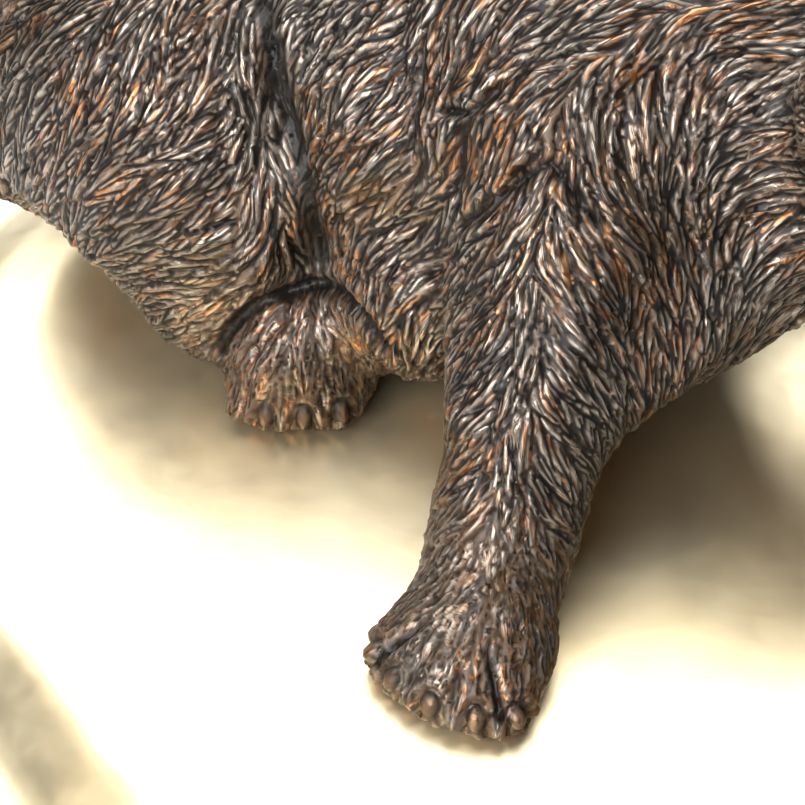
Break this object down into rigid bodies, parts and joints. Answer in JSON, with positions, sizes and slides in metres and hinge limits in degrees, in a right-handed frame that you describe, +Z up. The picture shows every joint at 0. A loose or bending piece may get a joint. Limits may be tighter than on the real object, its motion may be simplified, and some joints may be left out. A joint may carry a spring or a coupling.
{
  "type": "koala figurine",
  "caption": "Crouching koala with carved fur in a dark bronze finish, one arm stretched sideways, on a low gilded boulder base.",
  "frame": {"origin": "centre of the whole object's box, on the surface that the boulder base stands on", "axes": "+Z up, +X towards the koala's head, -Y the side that the outstretched right arm reaches to"},
  "size_m": [0.344, 0.322, 0.2128],
  "materials": {
    "bronze_finish": "dark bronze patina over carved fur, satin, copper rubbed through on the ridges",
    "gold_finish": "pale champagne gold, satin, faintly brushed"
  },
  "bodies": {
    "root": {"koala": "bronze_finish", "boulder_base": "gold_finish"}
  },
  "joints": []
}
